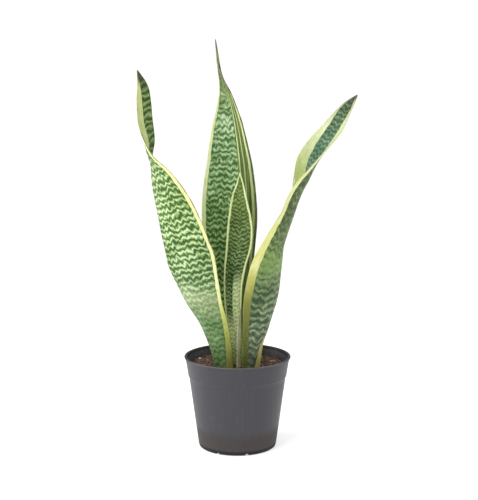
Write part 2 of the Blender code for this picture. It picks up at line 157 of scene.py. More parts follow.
profile += [(body_top_r + 0.3 * BAND_STEP, band_low_z - 0.45 * MM)]
profile += [(band_low_r - 0.3 * BAND_STEP, band_low_z - 0.1 * MM)]
profile += arc(band_low_r - 0.35 * MM, band_low_z + 0.35 * MM, 0.35 * MM, -60, 0, 4)
profile += [(band_low_r + 0.1 * MM, band_low_z + 1.2 * MM)]
profile += [(0.5 * (band_low_r + band_top_r), 0.5 * (band_low_z + lip_z))]
profile += [(band_top_r, lip_z - 2.0 * MM), (band_top_r + 0.15 * MM, lip_z - 0.8 * MM)]
profile += [(band_top_r + 0.5 * MM, lip_z - 0.2 * MM), (band_top_r + 0.9 * MM, lip_z)]
profile += arc(LIP_R - LIP_ROUND, lip_z + LIP_ROUND, LIP_ROUND, -80, 0, 6)
profile += arc(LIP_R - LIP_ROUND, POT_H - LIP_ROUND, LIP_ROUND, 10, 90, 7)
profile += arc(band_top_r - WALL + 1.0 * MM, POT_H - 1.0 * MM, 1.0 * MM, 90, 180, 6)
inside_mm = (107.0, 102.0, 96.0, 90.0, 88.0, 86.0, 60.0, 30.0)
profile += [(inside_r(z * MM), z * MM) for z in inside_mm]
profile += [(inside_r(floor_top + 1.5 * MM), floor_top + 1.5 * MM)]
profile += [(inside_r(floor_top) - 0.5 * MM, floor_top + 0.3 * MM)]
profile += [(inside_r(floor_top) - 1.5 * MM, floor_top)]
profile += [(PAD_R - FLOOR_T + 1.0 * MM, floor_top), (PAD_R - FLOOR_T, FLOOR_T), (0.0, FLOOR_T)]
pot = turned("nursery_pot", profile, POT_TURNS)

notch_at = foot_edge - 0.5 * RING_W
drain_at = 0.5 * (PAD_R + 1.0 * MM + ring_in)
for k in range(DRAINS):
    heading = NOTCH_TURN + 2.0 * math.pi * k / DRAINS
    between = heading + math.pi / DRAINS
    bpy.ops.mesh.primitive_cube_add(
        size=1.0,
        location=(notch_at * math.cos(heading), notch_at * math.sin(heading), 0.0),
        rotation=(0.0, 0.0, heading),
        scale=(RING_W + 8.0 * MM, NOTCH_W, 2.0 * NOTCH_H),
    )
    notch = bpy.context.object
    bpy.ops.mesh.primitive_cylinder_add(
        vertices=32,
        radius=DRAIN_R,
        depth=12.0 * MM,
        location=(drain_at * math.cos(between), drain_at * math.sin(between), FLOOR_LIFT),
    )
    drain = bpy.context.object
    for cutter in (notch, drain):
        apply_modifier(pot, "BOOLEAN", operation="DIFFERENCE", solver="EXACT", object=cutter)
        bpy.data.objects.remove(cutter, do_unlink=True)
only(pot)
bpy.ops.object.shade_smooth_by_angle(angle=math.radians(32))


class Paint:
    """A socket of a material.  Sums on it become Math nodes, and node() makes any other node."""

    def __init__(self, tree, socket=None):
        self.tree, self.socket = tree, socket

    def node(self, kind, settings=None, inputs=None, output=0):
        """A new node with its settings and inputs, and the socket that it gives."""
        made = self.tree.nodes.new("ShaderNode" + kind)
        for name, value in (settings or {}).items():
            if name == "stops":
                stops = made.color_ramp.elements
                stops.remove(stops[1])
                stops[0].position, stops[0].color = value[0]
                for place, colour in value[1:]:
                    stops.new(place).color = colour
            else:
                setattr(made, name, value)
        for name, value in (inputs or {}).items():
            if isinstance(value, Paint):
                self.tree.links.new(value.socket, made.inputs[name])
            else:
                made.inputs[name].default_value = value
        return Paint(self.tree, made.outputs[output])

    def maths(self, operation, *values):
        """One Math node on the values."""
        return self.node("Math", {"operation": operation}, dict(enumerate(values)))

    def most(self, other):
        return self.maths("MAXIMUM", self, other)

    def least(self, other):
        return self.maths("MINIMUM", self, other)

    def __add__(self, other):
        return self.maths("ADD", self, other)

    def __sub__(self, other):
        return self.maths("SUBTRACT", self, other)

    def __rsub__(self, other):
        return self.maths("SUBTRACT", other, self)

    def __mul__(self, other):
        return self.maths("MULTIPLY", self, other)

    def __truediv__(self, other):
        return self.maths("DIVIDE", self, other)

    __radd__ = __add__
    __rmul__ = __mul__

    def rise(self, low, high):
        """0 below low, 1 above high, and smooth between."""
        return self.node(
            "MapRange",
            {"interpolation_type": "SMOOTHSTEP"},
            {"Value": self, "From Min": low, "From Max": high},
        )

    def noise(self, scale, detail=2.0, roughness=0.5):
        """Noise from 0 to 1 at this place."""
        return self.node("TexNoise", None, {"Vector": self, "Scale": scale, "Detail": detail,
                                            "Roughness": roughness})

    def part(self, k):
        """One of the three numbers of a vector or a colour."""
        return self.node("SeparateXYZ", None, {0: self}, output=k)

    def between(self, low, high):
        """From one colour to another as this goes from 0 to 1."""
        return self.node("Mix", {"data_type": "RGBA"}, {"Factor": self, 6: low, 7: high}, output=2)

    def mixed(self, other, share):
        """This colour with another over it."""
        return self.node("Mix", {"data_type": "RGBA"}, {"Factor": share, 6: self, 7: other},
                         output=2)

    def feeds(self, socket):
        self.tree.links.new(self.socket, socket)


def shade(red, green, blue):
    """A display colour, 0 to 255, as the linear colour that a socket takes."""
    linear = [((c / 255.0 + 0.055) / 1.055) ** 2.4 if c > 10 else c / 3294.6
              for c in (red, green, blue)]
    return (*linear, 1.0)


def new_finish(name, **constants):
    """A material, the place on the object that its nodes start from, and its shader with the
    constant values set."""
    material = bpy.data.materials.new(name)
    material.use_nodes = True
    shader = material.node_tree.nodes["Principled BSDF"]
    for socket, value in constants.items():
        shader.inputs[socket.replace("_", " ")].default_value = value
    return material, Paint(material.node_tree).node("TexCoord", output=3), shader


def coat(shader, colour, roughness, height, depth):
    """Gives a shader its colour, its roughness and its bump: a height from 0 to 1 times depth."""
    colour.feeds(shader.inputs["Base Color"])
    roughness.feeds(shader.inputs["Roughness"])
    colour.node("Bump", None, {"Height": height, "Distance": depth}).feeds(shader.inputs["Normal"])


plastic, place, shader = new_finish("pot_plastic", IOR=1.46)
x, y, z = [place.part(k) for k in range(3)]
across_r = x * x + y * y
across_r = across_r.maths("SQRT", across_r)
round_place = place.node("CombineXYZ", None, {0: x, 1: y, 2: z * 0.12})
clouds = place.noise(28.0, 4.0, 0.6)
drag = round_place.noise(260.0, 3.0, 0.6)
specks = place.noise(900.0, 2.0, 0.6)
# Darker and browner towards the bottom, up to about 30 mm: partly dust, partly painted shade that
# holds down the light thrown up from the floor.  Runs of dust, and splashes of mix inside the rim,
# are added to it.
low_dust_and_shade = (1.0 - z.rise(0.018, 0.032)) * (0.55 + 0.6 * clouds)
runs = round_place.noise(90.0, 3.0, 0.7).rise(0.56, 0.72) * (1.0 - z.rise(0.03, 0.1)) * 0.5
wall_r = band_top_r - WALL
inside = (1.0 - across_r.rise(wall_r - 1.2 * MM, wall_r + 0.4 * MM)) * z.rise(0.099, 0.104)
splash = inside * place.noise(240.0, 4.0, 0.7).rise(0.5, 0.62) * (1.0 - z.rise(0.103, 0.1095))
dirt_and_low_shade = (low_dust_and_shade + runs + splash).least(1.0)
body = clouds.between(shade(52, 51, 57), shade(62, 61, 67))
body = body.mixed(shade(69, 68, 74), drag.rise(0.5, 0.75) * 0.5)
scuffs = place.noise(380.0, 3.0, 0.7).rise(0.42, 0.6)
body = body.mixed(shade(92, 92, 94), inside * (0.1 + 0.5 * scuffs))
body = body.mixed(shade(66, 57, 51), dirt_and_low_shade * 0.7)
# Painted shade: the outer edge of the lip is painted near black at the sides and the back, where
# it stands in shade, and only a little at the front.
lip_shade_sides = x.maths("ABSOLUTE", x).rise(0.72 * LIP_R, 0.97 * LIP_R)
lip_shade_sides = lip_shade_sides.most(y.rise(0.0, 0.02)) * 0.85 + 0.1
painted_lip_shade = across_r.rise(band_top_r + 0.2 * MM, band_top_r + 0.8 * MM) * lip_shade_sides
# Painted shade: the top few millimetres of the inner wall, under the lip, are painted near black.
painted_rim_shade = z.rise(POT_H - 4.2 * MM, POT_H - 2.4 * MM)
painted_rim_shade = painted_rim_shade * (1.0 - across_r.rise(wall_r + 0.6 * MM, band_top_r))
# Painted contact shadow: the foot is painted near black up to about 6 mm, where it meets the
# floor.
painted_foot_shadow = 1.0 - z.rise(3.8 * MM, 6.2 * MM)
body = body.mixed(shade(12, 12, 13), painted_lip_shade.most(painted_foot_shadow) * 0.95)
body = body.mixed(shade(14, 14, 15), painted_rim_shade * 0.9)
# Painted highlight: the top of the lip is painted a light warm grey at the front, where it catches
# the light.
painted_lip_highlight = z.rise(POT_H - 1.1 * MM, POT_H - 0.5 * MM) * across_r.rise(band_top_r, LIP_R)
painted_lip_highlight = painted_lip_highlight * (1.0 - lip_shade_sides)
body = body.mixed(shade(128, 116, 104), painted_lip_highlight * 0.7)
body = body.mixed(shade(132, 126, 116), specks.rise(0.68, 0.76) * (0.1 + dirt_and_low_shade * 0.5))
rings = z * 900.0
rings = rings.maths("SINE", rings) * 0.06
coat(shader, body, 0.36 + 0.12 * clouds + 0.1 * drag + 0.3 * dirt_and_low_shade,
     0.5 * clouds + 0.35 * drag + 0.12 * specks + rings, 0.22 * MM)
pot.data.materials.append(plastic)
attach(pot, "root")
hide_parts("pot")

# ---- Potting mix -----------------------------------------------------------
# Composted bark and peat, pressed into the pot and watered down until it lies lower at the wall
# than at the plant.  Its surface is loose crumbs, rough at every size down to a millimetre.
SOIL_BELOW_LIP = 10.0 * MM
SOIL_SAG = 1.5 * MM
SOIL_MOUND = 2.4 * MM
SOIL_KEEP = 0.5 * MM         # the mix stays this far inside the pot's wall
SOIL_CALM = 2.5 * MM         # its surface is calmer within this distance of the wall
SOIL_RINGS = 64
SOIL_SIDES = 192

level = POT_H - SOIL_BELOW_LIP
edge_z = level - SOIL_SAG
mix_r = inside_r(edge_z) - SOIL_KEEP


def widen(share, z):
    """Scales the ring that is selected, about the axis at height z."""
    bpy.ops.transform.resize(value=(share, share, 1.0), center_override=(0.0, 0.0, z))


bpy.ops.object.select_all(action="DESELECT")
was_r, was_z = inside_r(floor_top) - 2.8 * MM, floor_top + 0.4 * MM
bpy.ops.mesh.primitive_circle_add(vertices=SOIL_SIDES, radius=was_r, location=(0.0, 0.0, was_z))
mix = bpy.context.object
mix.name = mix.data.name = "loose_mix"
bpy.ops.object.transform_apply(location=True, rotation=True, scale=True)
bpy.ops.object.mode_set(mode="EDIT")
bpy.ops.mesh.select_all(action="SELECT")
for z in (9.0 * MM, 0.5 * POT_H, band_low_z - 2.0 * MM, edge_z - 1.0 * MM, edge_z):
    new_r = inside_r(z) - SOIL_KEEP - (0.5 * MM if z == edge_z else 0.0)
    extrude_by(0.0, z - was_z)
    widen(new_r / was_r, z)
    was_r, was_z = new_r, z
top_r = was_r
for k in range(1, SOIL_RINGS):
    new_r = top_r * (1.0 - k / SOIL_RINGS)
    new_z = edge_z + SOIL_MOUND * (1.0 - (new_r / body_top_r) ** 2)
    extrude_by(0.0, new_z - was_z)
    widen(new_r / was_r, new_z)
    was_r, was_z = new_r, new_z
bpy.ops.mesh.edge_face_add()
bpy.ops.mesh.poke()
bpy.ops.mesh.select_all(action="DESELECT")
bpy.ops.object.mode_set(mode="OBJECT")
for vertex in mix.data.vertices[:SOIL_SIDES]:
    vertex.select = True
bpy.ops.object.mode_set(mode="EDIT")
bpy.ops.mesh.select_mode(type="VERT")
bpy.ops.mesh.edge_face_add()
bpy.ops.mesh.select_all(action="SELECT")
bpy.ops.mesh.normals_make_consistent(inside=False)
bpy.ops.object.mode_set(mode="OBJECT")

surface = mix.vertex_groups.new(name="surface")
for vertex in mix.data.vertices:
    if vertex.co.z > edge_z + 0.02 * MM:
        wall_share = min(1.0, (top_r - vertex.co.xy.length) / SOIL_CALM)
        surface.add([vertex.index], 0.25 + 0.75 * wall_share, "REPLACE")
for kind, size, rise, base in (("CLOUDS", 11.0, 2.6, 0.5), ("VORONOI", 5.2, 1.7, 0.35),
                               ("CLOUDS", 2.6, 1.6, 0.5), ("VORONOI", 2.4, 0.9, 0.35)):
    grain = bpy.data.textures.new(f"grain_{size}", kind)
    grain.noise_scale = size * MM
    if kind == "CLOUDS":
        grain.noise_depth = 2
    apply_modifier(mix, "DISPLACE", texture=grain, strength=rise * MM, mid_level=base,
                   direction="Z", vertex_group="surface", texture_coords="LOCAL")
only(mix)
bpy.ops.object.shade_smooth()

humus, place, shader = new_finish("humus")
clods = place.noise(95.0, 4.0, 0.7)
crumbs = place.noise(420.0, 3.0, 0.7)
grit = place.noise(1300.0, 2.0, 0.6)
flakes = place.node("TexVoronoi", None, {"Vector": place, "Scale": 330.0}, output=1)
flake_tone = flakes.node("SeparateColor", None, {0: flakes})
soil = clods.node("ValToRGB", {"stops": [(0.3, shade(32, 26, 23)), (0.46, shade(70, 57, 50)),
                                        (0.58, shade(112, 92, 79)), (0.72, shade(160, 134, 115))]},
                  {"Fac": clods * 0.5 + crumbs * 0.5})
soil = soil.mixed(shade(139, 104, 80), flake_tone.rise(0.7, 0.9) * 0.7)
soil = soil.mixed(shade(38, 29, 24), (1.0 - flake_tone.rise(0.1, 0.35)) * 0.7)
soil = soil.mixed(shade(176, 150, 124), grit.rise(0.68, 0.76) * 0.6)
coat(shader, soil, 0.86 + 0.12 * crumbs, 0.55 * crumbs + 0.3 * grit + 0.15 * flake_tone, 1.1 * MM)
mix.data.materials.append(humus)
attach(mix, "root")
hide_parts("potting_mix")

# ---- Rhizome ---------------------------------------------------------------
# The creeping stem that all leaves grow from, with its roots, lies inside the mix.  It is fleshy
# and orange-cream, with brown scars round it where old scales sat.
cork, place, shader = new_finish("rhizome_skin")
scars = place.part(0) * 900.0 + place.noise(120.0) * 5.0
scars = scars.maths("SINE", scars).rise(0.72, 0.95)
blotch = place.noise(160.0, 4.0, 0.6)
skin = blotch.between(shade(196, 152, 96), shade(226, 196, 148))
skin = skin.mixed(shade(122, 84, 52), scars * 0.8)
coat(shader, skin, 0.5 + 0.25 * blotch, 0.6 * blotch + 0.4 * scars, 0.6 * MM)
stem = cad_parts["rhizome"]
stem.data.materials.clear()
stem.data.materials.append(cork)

# ---- Left leaf -------------------------------------------------------------
# A stiff, fleshy blade, rolled into a channel at its foot and open above, that leans left and
# turns its inner face outwards near the tip.  It is pale grey-green with dark zigzag bands across
# it and a yellow margin.  It grows from the rhizome, as all leaves do.
COLUMNS = 12                 # quads across a blade
ROWS_PER_SPAN = 4            # rows of quads between two stations
RIM_T = 1.1                  # thickness at the margins, mm
STOUT_MIDRIB, STOUT_RIM = 0.45, 0.3   # the most thickness of a narrow row, shares of its width
FOOT = -36                   # leaf feet, mm from the level of the mix
NARROWEST = 0.9              # width that a tip is cut to, mm
FLATTEST = 8.0               # smallest half angle of a channel, degrees
TIP_THINNER = 0.62           # share of its flesh that a blade loses from foot to tip
FLESH_FALL = 1.3             # power by which the flesh falls from midrib to margins
RIPPLE_W = 25.0              # width from which the margins ripple fully, mm
FULL_TURN = 6.283            # radians

# One row per station from foot to tip, in mm and degrees: height above the level of the mix,
# x and y of the chord's middle, width, turn of the chord, half angle of the channel.
LEFT_STATIONS = (
    (FOOT, -12, -19, 21, -20, 58),
    (1, -16, -22, 24, -20, 50),
    (31, -21, -24, 30, -21, 42),
    (58, -29, -26, 37, -22, 36),
    (85, -40, -30, 47, -20, 30),
    (110, -48, -33, 55, -18, 27),
    (132, -54, -36, 60, -15, 25),
    (154, -60, -38, 60, -22, 25),
    (181, -68, -40, 61, -33, 25),
    (205, -76, -41, 59, -40, 25),
    (228, -86, -42, 53, -51, 27),
    (245, -92, -42, 47, -68, 28),
    (260, -98, -43, 40, -90, 30),
    (275, -101, -43, 32, -108, 30),
    (295, -105, -44, 26, -126, 30),
    (320, -107, -44, 19, -144, 30),
    (336, -108, -45, 13, -155, 28),
    (354, -114, -45, 1, -160, 20),
)


def rows_through(stations):
    """Catmull-Rom rows through the stations."""
    rows = [Vector(row) for row in stations]
    rows = [2 * rows[0] - rows[1]] + rows + [2 * rows[-1] - rows[-2]]
    through = []
    for a, b, c, d in zip(rows, rows[1:], rows[2:], rows[3:]):
        for step in range(ROWS_PER_SPAN):
            t = step / ROWS_PER_SPAN
            through.append(0.5 * (2 * b + (c - a) * t + (2 * a - 5 * b + 4 * c - d) * t * t
                                  + (3 * b - a - 3 * c + d) * t ** 3))
    return through + [rows[-2]]


def blade(name, stations, flesh, wave, wave_length, outer_skin, inner_skin):
    """A leaf from a grid: each row is curled to its channel, turned and set at its station, and
    the sheet then gets its flesh, thick at the midrib and thin at the margins.  The margins ripple
    by wave, once in each wave_length.  Sizes in mm."""
    rows = rows_through(stations)
    path = [Vector((row[1], row[2], row[0])) * MM + Vector((0.0, 0.0, level)) for row in rows]
    bpy.ops.object.select_all(action="DESELECT")
    bpy.ops.mesh.primitive_grid_add(x_subdivisions=COLUMNS, y_subdivisions=len(rows) - 1,
                                    size=2.0 * MM)
    piece = bpy.context.object
    piece.name = piece.data.name = name
    bpy.ops.object.mode_set(mode="EDIT")
    mesh = bmesh.from_edit_mesh(piece.data)
    mesh.verts.ensure_lookup_table()
    across = COLUMNS + 1
    sides, lengths, thick = [], [], []
    length = 0.0
    for i, row in enumerate(rows):
        _, _, _, width, turn, half = row
        width, half = max(width, NARROWEST), math.radians(max(half, FLATTEST))
        tangent = (path[min(i + 1, len(path) - 1)] - path[max(i - 1, 0)]).normalized()
        chord = Vector((math.cos(math.radians(turn)), math.sin(math.radians(turn)), 0.0))
        chord = (chord - tangent * chord.dot(tangent)).normalized()
        out = chord.cross(tangent)
        bend = 0.5 * width / math.sin(half)
        if i:
            length += (path[i] - path[i - 1]).length
        lengths.append(length)
        sides.append(bend * half * MM)
        mid = min(flesh * (1.0 - TIP_THINNER * i / (len(rows) - 1)), STOUT_MIDRIB * width)
        rim = min(RIM_T, STOUT_RIM * width)
        corners = mesh.verts[i * across:(i + 1) * across]
        for k, corner in enumerate(corners):
            u = 2.0 * k / COLUMNS - 1.0
            ripple = math.sin(length / MM * FULL_TURN / wave_length + 1.7 * (u > 0) + 0.4)
            ripple *= wave * abs(u) ** 3 * min(1.0, width / RIPPLE_W)
            sag = bend * (math.cos(half) - math.cos(u * half))
            spot = Vector((bend * math.sin(u * half), sag + ripple, 0.0))
            bpy.ops.mesh.select_all(action="DESELECT")
            corner.select_set(True)
            bpy.ops.transform.translate(value=spot * MM - corner.co)
            thick.append(rim + (mid - rim) * (1.0 - u * u) ** FLESH_FALL)
        for corner in corners:
            corner.select_set(True)
        turns = Matrix((chord, -out, tangent)).transposed().to_euler("XYZ")
        for axis, angle in zip("XYZ", turns):
            bpy.ops.transform.rotate(value=-angle, orient_axis=axis,
                                     center_override=(0.0, 0.0, 0.0))
        bpy.ops.transform.translate(value=path[i])
    bpy.ops.object.mode_set(mode="OBJECT")

    piece.data.uv_layers[0].name = "Margins"          # cm from the two margins
    piece.data.uv_layers.new(name="Length")           # share of the length, cm from the foot
    to_margins, to_foot = [layer.data for layer in piece.data.uv_layers]
    for loop in piece.data.loops:
        i, k = divmod(loop.vertex_index, across)
        u = 2.0 * k / COLUMNS - 1.0
        to_margins[loop.index].uv = ((1.0 + u) * sides[i] * 100.0, (1.0 - u) * sides[i] * 100.0)
        to_foot[loop.index].uv = (i / (len(rows) - 1), lengths[i] * 100.0)
    group = piece.vertex_groups.new(name="flesh")
    for index, thickness in enumerate(thick):
        group.add([index], thickness / flesh, "REPLACE")
    piece.data.materials.append(outer_skin)
    piece.data.materials.append(inner_skin)
    apply_modifier(piece, "SOLIDIFY", thickness=flesh * MM, offset=0.0, vertex_group="flesh",
                   thickness_vertex_group=0.0, material_offset=1, material_offset_rim=0)
    apply_modifier(piece, "SUBSURF", levels=2, render_levels=2)
    only(piece)
    bpy.ops.object.shade_smooth()
    return piece


LOW_Z, HIGH_Z = 60.0, 500.0  # heights that a leaf's colours lie between, mm


def leaf_skin(name, pale, middle, dark, weight, contrast, margin, first, second, period=0.75,
              zig=0.95, zig_rise=0.3, vee=0.0, streak=0.2, mottle=1.0, stripes=(), stripe_zone=0.0,
              wrap=None, dull_first=None, low_second=None,
              first_rim=(110, 92, 52), second_rim=(126, 104, 62), rim_strength=0.6,
              rim_width=0.08, tip=600.0, tip_colour=(74, 66, 58), seed=0.0):
    """Skin of one face of a leaf.  pale, middle, dark and margin are colours, weight is how far
    the tone leans to dark, contrast how strongly the bands stand out, and first and second are the
    widths of the two yellow margins in cm, each given at heights in mm.  period, zig and zig_rise
    are the spacing of the bands and the length and height of their zigzags in cm; vee slopes them
    down to the midrib.  stripes are yellow lines along the leaf and stripe_zone the plain strip
    that they run in, as shares of the width from the first margin.  wrap is a height below which
    the first half is painted pale, partly its own paleness and partly painted light that lifts the
    shade in the fold, dull_first one below which the first margin turns olive, low_second the
    second margin's colour at the foot, and mottle how blotchy the skin is.  The rims are the dry
    edges of the margins, the first one rim_width cm wide.  The leaf is dry above tip."""
    material, place, shader = new_finish(name, IOR=1.4, Specular_IOR_Level=0.32)
    height = place.part(2) * 1000.0
    share = (height - LOW_Z) / (HIGH_Z - LOW_Z)
    margins = place.node("UVMap", {"uv_map": "Margins"})
    from_first, from_second = margins.part(0), margins.part(1)
    along = place.node("UVMap", {"uv_map": "Length"}).part(1)
    side = (from_first - from_second) * 0.5
    width_share = from_first / (from_first + from_second)

    def by_height(stops):
        scaled = [((z - LOW_Z) / (HIGH_Z - LOW_Z), value) for z, value in stops.items()]
        return share.node("ValToRGB", {"stops": scaled}, {"Fac": share})

    def colour_by_height(stops):
        return by_height({z: shade(*colour) for z, colour in stops.items()})

    def size_by_height(stops):
        most = max(stops.values())
        return by_height({z: (v / most,) * 3 + (1.0,) for z, v in stops.items()}) * most

    def veins(across_scale, along_scale, shift=0.0, detail=2.0, roughness=0.5):
        spread = {0: side * across_scale + shift, 1: along * along_scale, 2: seed}
        return place.node("CombineXYZ", None, spread).noise(1.0, detail, roughness)

    wander = veins(1.1, 0.9, 0.0, 3.0, 0.6)
    ragged = veins(8.0, 5.0, 0.0, 3.0, 0.65)
    blots = veins(2.6, 2.0, 13.0, 2.0, 0.6)
    long_streak = veins(3.4, 0.25, 0.0, 3.0, 0.6)
    fine_streak = veins(17.0, 0.6, 0.0, 2.0, 0.6)
    patch = veins(0.6, 0.4, 7.0)

    drift = side + (veins(1.3, 0.8, 3.0) - 0.5) * 0.9
    teeth = drift.maths("PINGPONG", drift + 40.0 * zig, 0.5 * zig) * (2.0 * zig_rise / zig)
    arches = drift.maths("PINGPONG", drift + 120.0 * zig, 1.5 * zig) * (0.5 * zig_rise / zig)
    slope = side.maths("ABSOLUTE", side) * vee
    count = (along - teeth - arches - slope + (wander - 0.5) * 1.7 * period) / period
    wave = count.maths("PINGPONG", count + 100.0, 0.5) * 2.0
    plain = 1.0
    if stripe_zone:
        in_zone = 1.0 - width_share.rise(stripe_zone - 0.02, stripe_zone + 0.03)
        plain = 1.0 - 0.85 * in_zone
    tone = ((wave - 0.5) * size_by_height(contrast) * plain + size_by_height(weight)
            + (ragged - 0.5) * 0.75 * mottle + (blots - 0.5) * 0.8 * mottle
            + (long_streak - 0.5) * 2.0 * streak + (patch - 0.5) * 0.9)

    marks = colour_by_height(dark)
    marks = marks.mixed(shade(34, 56, 26), fine_streak.rise(0.45, 0.75) * 0.35)
    colour = colour_by_height(pale)
    colour = colour.mixed(shade(240, 247, 222), long_streak.rise(0.55, 0.72) * 0.35)
    colour = colour.mixed(colour_by_height(middle), tone.rise(-0.06, 0.36))
    colour = colour.mixed(shade(112, 140, 66), fine_streak.rise(0.52, 0.8) * 0.25)
    colour = colour.mixed(marks, tone.rise(0.46, 0.92))
    if stripe_zone:
        streaks = veins(9.0, 0.25, 21.0).rise(0.42, 0.64)
        olive = streaks.between(shade(58, 76, 22), shade(116, 134, 68))
        colour = colour.mixed(olive, in_zone * 0.9)
    # Painted light: below the wrap height, the first half is painted pale, partly the skin's own
    # paleness and partly light that lifts the shade in the fold.
    if wrap:
        half = 1.0 - side.rise(-0.2, 0.0)
        half = half.most(1.0 - height.rise(wrap - 78.0, wrap - 48.0))
        low = (1.0 - height.rise(wrap - 25.0, wrap)) * half
        colour = colour.mixed(shade(230, 246, 184), low * (1.0 - 0.45 * tone.rise(0.42, 0.88)))

    yellow = colour_by_height(margin)
    bleached = veins(1.2, 0.8, 9.0).rise(0.5, 0.7) * height.rise(190.0, 240.0) * 0.35
    yellow = yellow.mixed(shade(252, 252, 224), bleached)
    green_in_yellow = veins(9.0, 0.8, 2.0, 3.0).rise(0.54, 0.7) * 0.4
    green_low = 0.45 * (1.0 - height.rise(140.0, 200.0))
    green_in_yellow = green_in_yellow + veins(7.0, 4.0, 31.0).rise(0.5, 0.62) * green_low
    yellow = yellow.mixed(shade(122, 140, 60), green_in_yellow)
    if dull_first:
        dull = 1.0 - height.rise(dull_first - 40.0, dull_first)
        dull = dull * (1.0 - width_share.rise(0.3, 0.4))
        yellow = yellow.mixed(shade(98, 100, 36), dull * 0.4)
    waver = (veins(0.0, 1.1, 5.0, 3.0, 0.6) - 0.5) * 0.25 + (ragged - 0.5) * 0.14
    first_gap = from_first + waver - size_by_height(first)
    second_gap = from_second - waver - size_by_height(second)
    gap = first_gap.least(second_gap)
    edges = 1.0 - gap.rise(-0.04, 0.05)
    for near, far in stripes:
        middle_line = width_share + waver * 0.06
        line = middle_line.rise(near - 0.008, near + 0.008)
        line = line * (1.0 - middle_line.rise(far - 0.008, far + 0.008))
        edges = edges.most(line * height.rise(190.0, 250.0) * 0.9)
    colour = colour.mixed(marks, (1.0 - gap.rise(0.03, 0.2)) * 0.45)
    colour = colour.mixed(yellow, edges)
    if low_second:
        at_foot = (1.0 - second_gap.rise(-0.04, 0.05)) * (1.0 - height.rise(138.0, 156.0))
        colour = colour.mixed(shade(*low_second), at_foot * (0.55 + 0.45 * fine_streak))
    worn = veins(0.0, 0.8, 4.0).rise(0.4, 0.6) * 0.6 + 0.4
    worn = worn * rim_strength
    at_first = 1.0 - from_first.rise(0.4 * rim_width, rim_width)
    colour = colour.mixed(shade(*first_rim), at_first * worn)
    colour = colour.mixed(shade(*second_rim), (1.0 - from_second.rise(0.03, 0.08)) * worn)
    colour = colour.mixed(shade(*tip_colour), height.rise(tip - 10.0, tip + 4.0) * 0.88)
    relief = 0.55 * veins(22.0, 0.8) + 0.25 * long_streak + 0.2 * place.noise(1500.0)
    coat(shader, colour, 0.42 + 0.14 * patch + 0.08 * fine_streak, relief, 0.35 * MM)
    return material


left_outer = leaf_skin(
    "left_outer",
    pale={102: (146, 174, 128), 160: (158, 182, 132), 185: (182, 196, 152), 215: (198, 218, 174),
          265: (212, 230, 184), 320: (206, 224, 172), 390: (172, 192, 132)},
    middle={102: (94, 122, 76), 160: (108, 138, 84), 188: (140, 158, 110), 212: (116, 148, 88),
            265: (128, 164, 86), 330: (124, 158, 82), 400: (104, 130, 66)},
    dark={102: (56, 80, 42), 160: (70, 100, 52), 195: (86, 112, 62), 215: (62, 94, 46),
          260: (56, 90, 36), 330: (60, 92, 36), 400: (56, 80, 32)},
    weight={102: 0.56, 165: 0.52, 190: 0.32, 210: 0.5, 330: 0.5, 400: 0.5},
    contrast={102: 0.6, 165: 0.6, 192: 0.5, 212: 1.2, 330: 1.2, 400: 0.9},
    # The margin's yellow darkens to olive towards the foot: partly its own colour, partly painted
    # shade among the leaves' feet.
    margin={102: (134, 138, 72), 140: (160, 166, 80), 175: (210, 216, 122), 200: (244, 250, 184),
            260: (248, 252, 174), 380: (224, 236, 158), 450: (204, 214, 136)},
    first={102: 0.1, 200: 0.06, 400: 0.06},
    second={102: 0.9, 140: 0.68, 175: 0.46, 260: 0.42, 330: 0.5, 400: 0.36},
    zig=0.8, zig_rise=0.27, first_rim=(36, 48, 22), second_rim=(118, 92, 56), rim_strength=0.95,
    rim_width=0.11, seed=1.3,
)
left_inner = leaf_skin(
    "left_inner",
    pale={102: (128, 152, 104), 330: (156, 182, 118), 450: (140, 164, 104)},
    middle={102: (96, 120, 70), 330: (108, 134, 68), 450: (96, 118, 66)},
    dark={102: (66, 86, 48), 330: (58, 84, 30), 450: (52, 72, 28)},
    weight={102: 0.5, 330: 0.52, 430: 0.5, 450: 0.7},
    contrast={102: 0.9, 450: 1.3},
    margin={102: (196, 200, 112), 260: (240, 243, 170), 350: (214, 224, 150),
            450: (200, 212, 140)},
    first={102: 0.2, 330: 0.04, 450: 0.03},
    second={102: 0.5, 330: 0.7, 352: 2.6, 372: 2.2, 395: 1.35, 425: 0.75, 446: 0.15},
    period=0.78, zig=2.4, zig_rise=0.35, first_rim=(56, 62, 36), second_rim=(170, 176, 110),
    rim_strength=0.7, tip=445.0, tip_colour=(70, 68, 52), seed=2.1,
)
left_leaf = blade("leaf_left_blade", LEFT_STATIONS, 4.2, 0.35, 46.0, left_outer, left_inner)
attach(left_leaf, "root")
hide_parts("leaf_left")

# ---- Right leaf ------------------------------------------------------------
# It leans right, narrows to a twisted neck at two thirds of its height and shows its inner face
# above the twist.  The margin towards the plant is broad and yellow, the blade dark grey-green,
# partly its own colour and partly painted shade, as the leaf stands on the shadow side.
RIGHT_STATIONS = (
    (FOOT, 12, -20, 20, 22, 58),
    (1, 16.5, -22, 24, 28, 50),
    (31, 18.5, -24, 30, 32, 43),
    (48, 21.5, -26, 38, 34, 40),
    (85, 27.5, -30, 51, 36, 34),
    (115, 32, -34, 57, 44, 30),
    (141, 37, -38, 60, 54, 28),
    (166, 47, -40, 60, 64, 28),
    (190, 57, -41, 58, 72, 28),
    (205, 60.5, -41, 56, 77, 37),
    (222, 65, -40, 55, 88, 48),
    (235, 70.5, -39, 53, 98, 53),
    (253, 80, -37, 49, 114, 49),
    (271, 95, -35, 42, 129, 38),
    (289, 111, -33, 32, 138, 30),
    (305, 122, -31, 23, 138, 30),
    (316, 130, -30, 15, 138, 28),
    (326, 139, -29, 1, 138, 20),
)
